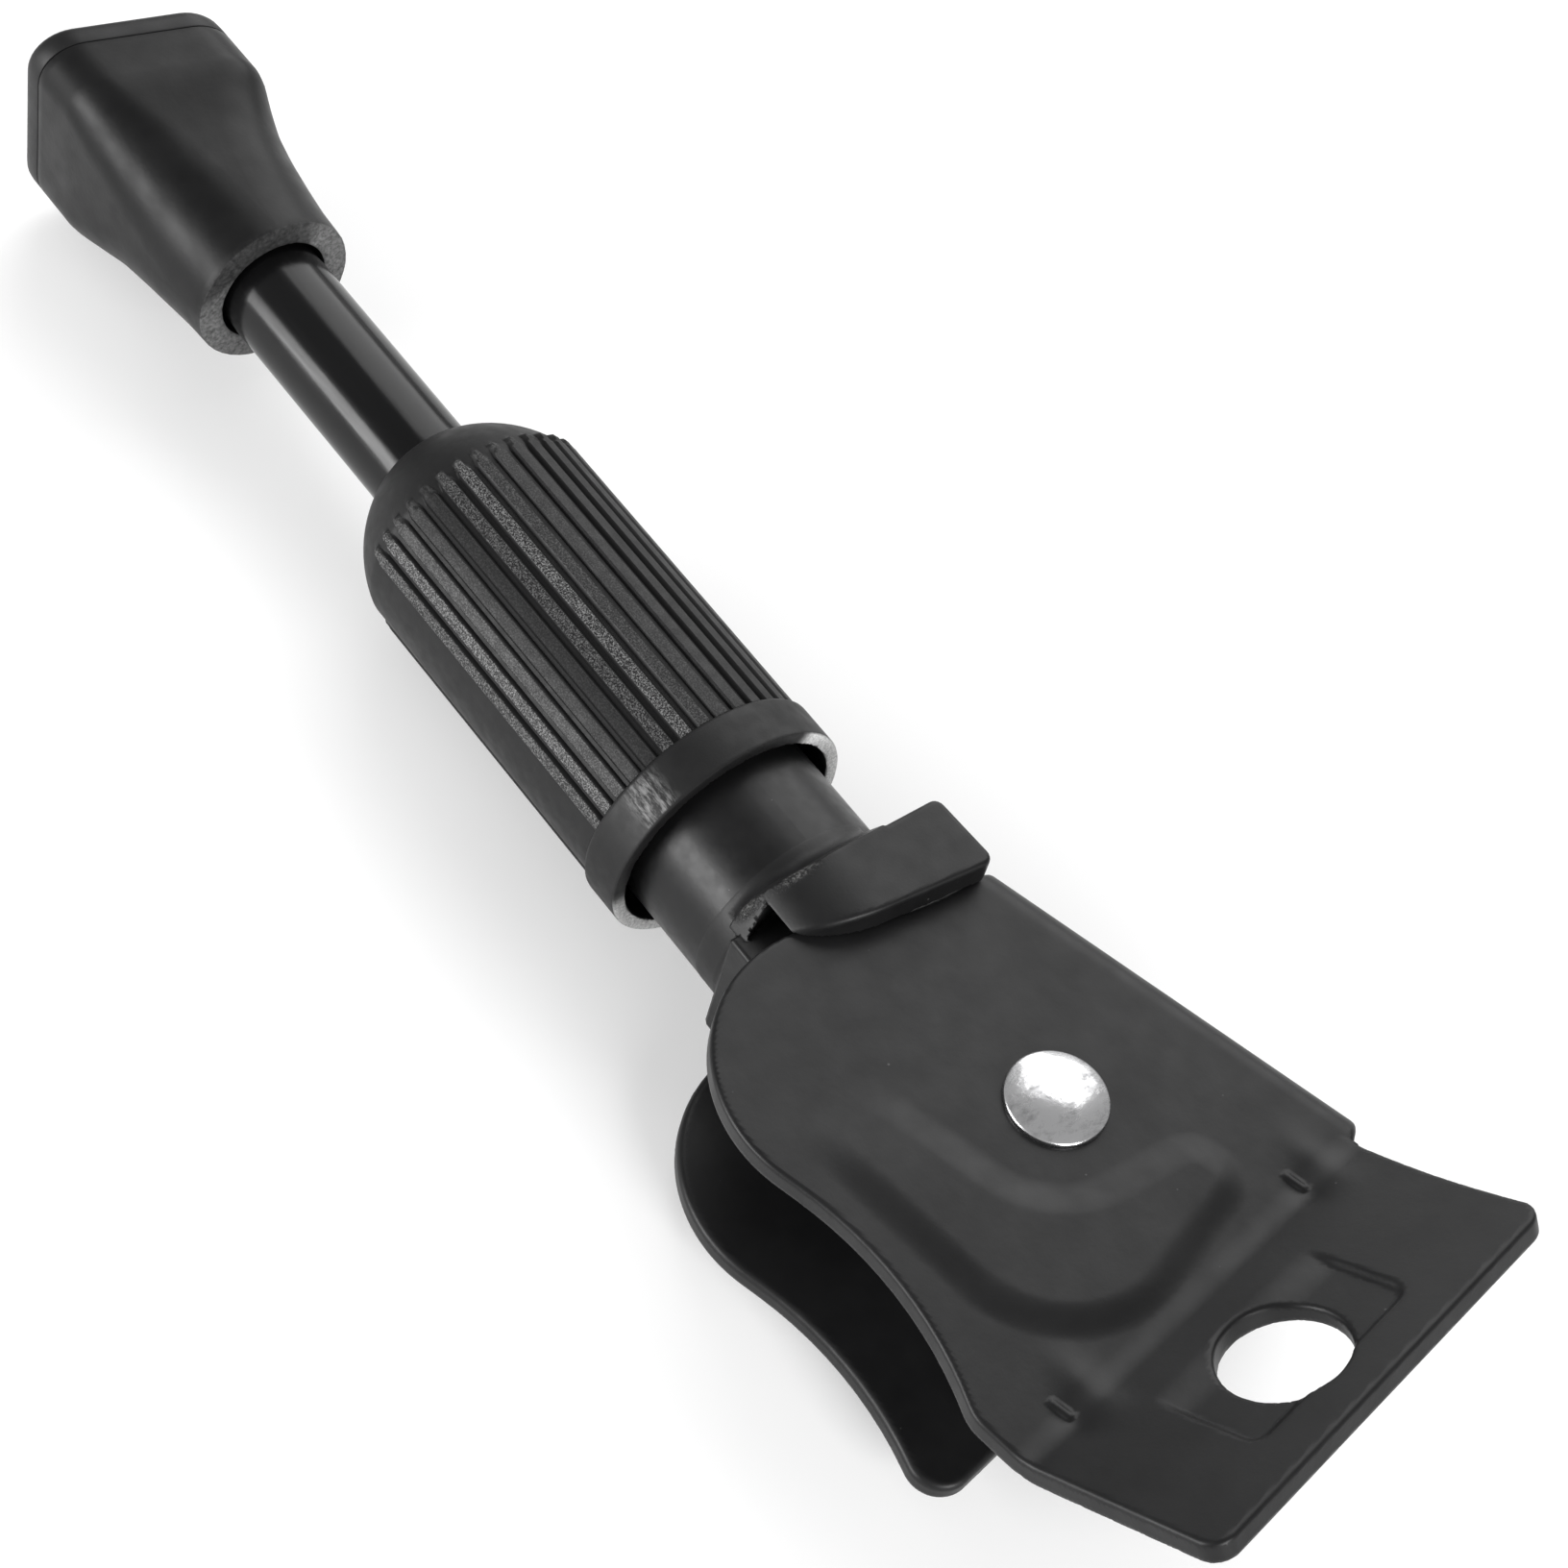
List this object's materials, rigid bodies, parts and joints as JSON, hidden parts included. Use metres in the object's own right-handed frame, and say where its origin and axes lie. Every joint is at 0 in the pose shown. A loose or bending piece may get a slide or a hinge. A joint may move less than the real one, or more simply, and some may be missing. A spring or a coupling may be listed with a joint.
{
  "type": "door security bar",
  "caption": "Folding door security bar: lobed bracket with bent, holed tongue, riveted leg, ribbed grip that winds a black rod out, square rubber foot.",
  "frame": {"origin": "below the middle of the whole bar, on the surface it lies on", "axes": "+X along the leg from the bracket to the foot, +Z out of the bracket's front cheek, +Y towards the side the leg folds to"},
  "size_m": [0.2082, 0.0524, 0.0365],
  "materials": {
    "bracket_coat": "satin black powder coat over pressed steel",
    "rivet_chrome": "bright, lightly scuffed",
    "plain_steel": "plain steel",
    "bush_bronze": "plain bronze bush",
    "nylon": "natural nylon",
    "cap_plastic": "satin black moulded plastic",
    "tube_paint": "satin black",
    "grip_plastic": "matt black, fine grain",
    "seal_rubber": "matt black",
    "rod_black": "gloss black",
    "core_plastic": "matt dark grey",
    "boot_rubber": "satin black rubber",
    "sole_rubber": "matt black rubber"
  },
  "bodies": {
    "bracket_body": {"bracket": "bracket_coat", "rivet": "rivet_chrome", "rivet_back_washer": "plain_steel", "pivot_bush": "bush_bronze", "friction_washer_front": "nylon", "friction_washer_rear": "nylon"},
    "leg": {"pivot_cap": "cap_plastic", "pivot_bearing": "nylon", "outer_tube": "tube_paint", "cap_dowel_front": "plain_steel", "cap_dowel_rear": "plain_steel", "guide_bush": "nylon", "guide_key": "plain_steel", "thrust_washer": "plain_steel", "retaining_ring": "plain_steel"},
    "grip": {"grip_sleeve": "grip_plastic", "drive_nut": "plain_steel", "nut_key": "plain_steel", "rod_wiper": "seal_rubber"},
    "rod": {"inner_rod": "rod_black", "foot_core": "core_plastic", "foot_boot": "boot_rubber", "sole_pad": "sole_rubber", "foot_screw": "plain_steel", "foot_washer": "plain_steel"}
  },
  "joints": [
    {"name": "leg_fold", "type": "hinge", "parent": "bracket_body", "child": "leg", "pos_m": [-0.05948, -0.00139, 0.0139], "axis": [0, 0, 1], "range_deg": [0, 95]},
    {"name": "grip_turn", "type": "hinge", "parent": "leg", "child": "grip", "pos_m": [0.02452, 0.00111, 0.0139], "axis": [-1, 0, 0], "range_deg": [0, 3960]},
    {"name": "rod_slide", "type": "slide", "parent": "leg", "child": "rod", "axis": [1, 0, 0], "range_m": [0, 0.033]}
  ],
  "couplings": [
    {"joint": "grip_turn", "follows": "rod_slide", "rad_per_m": 2094.4}
  ]
}
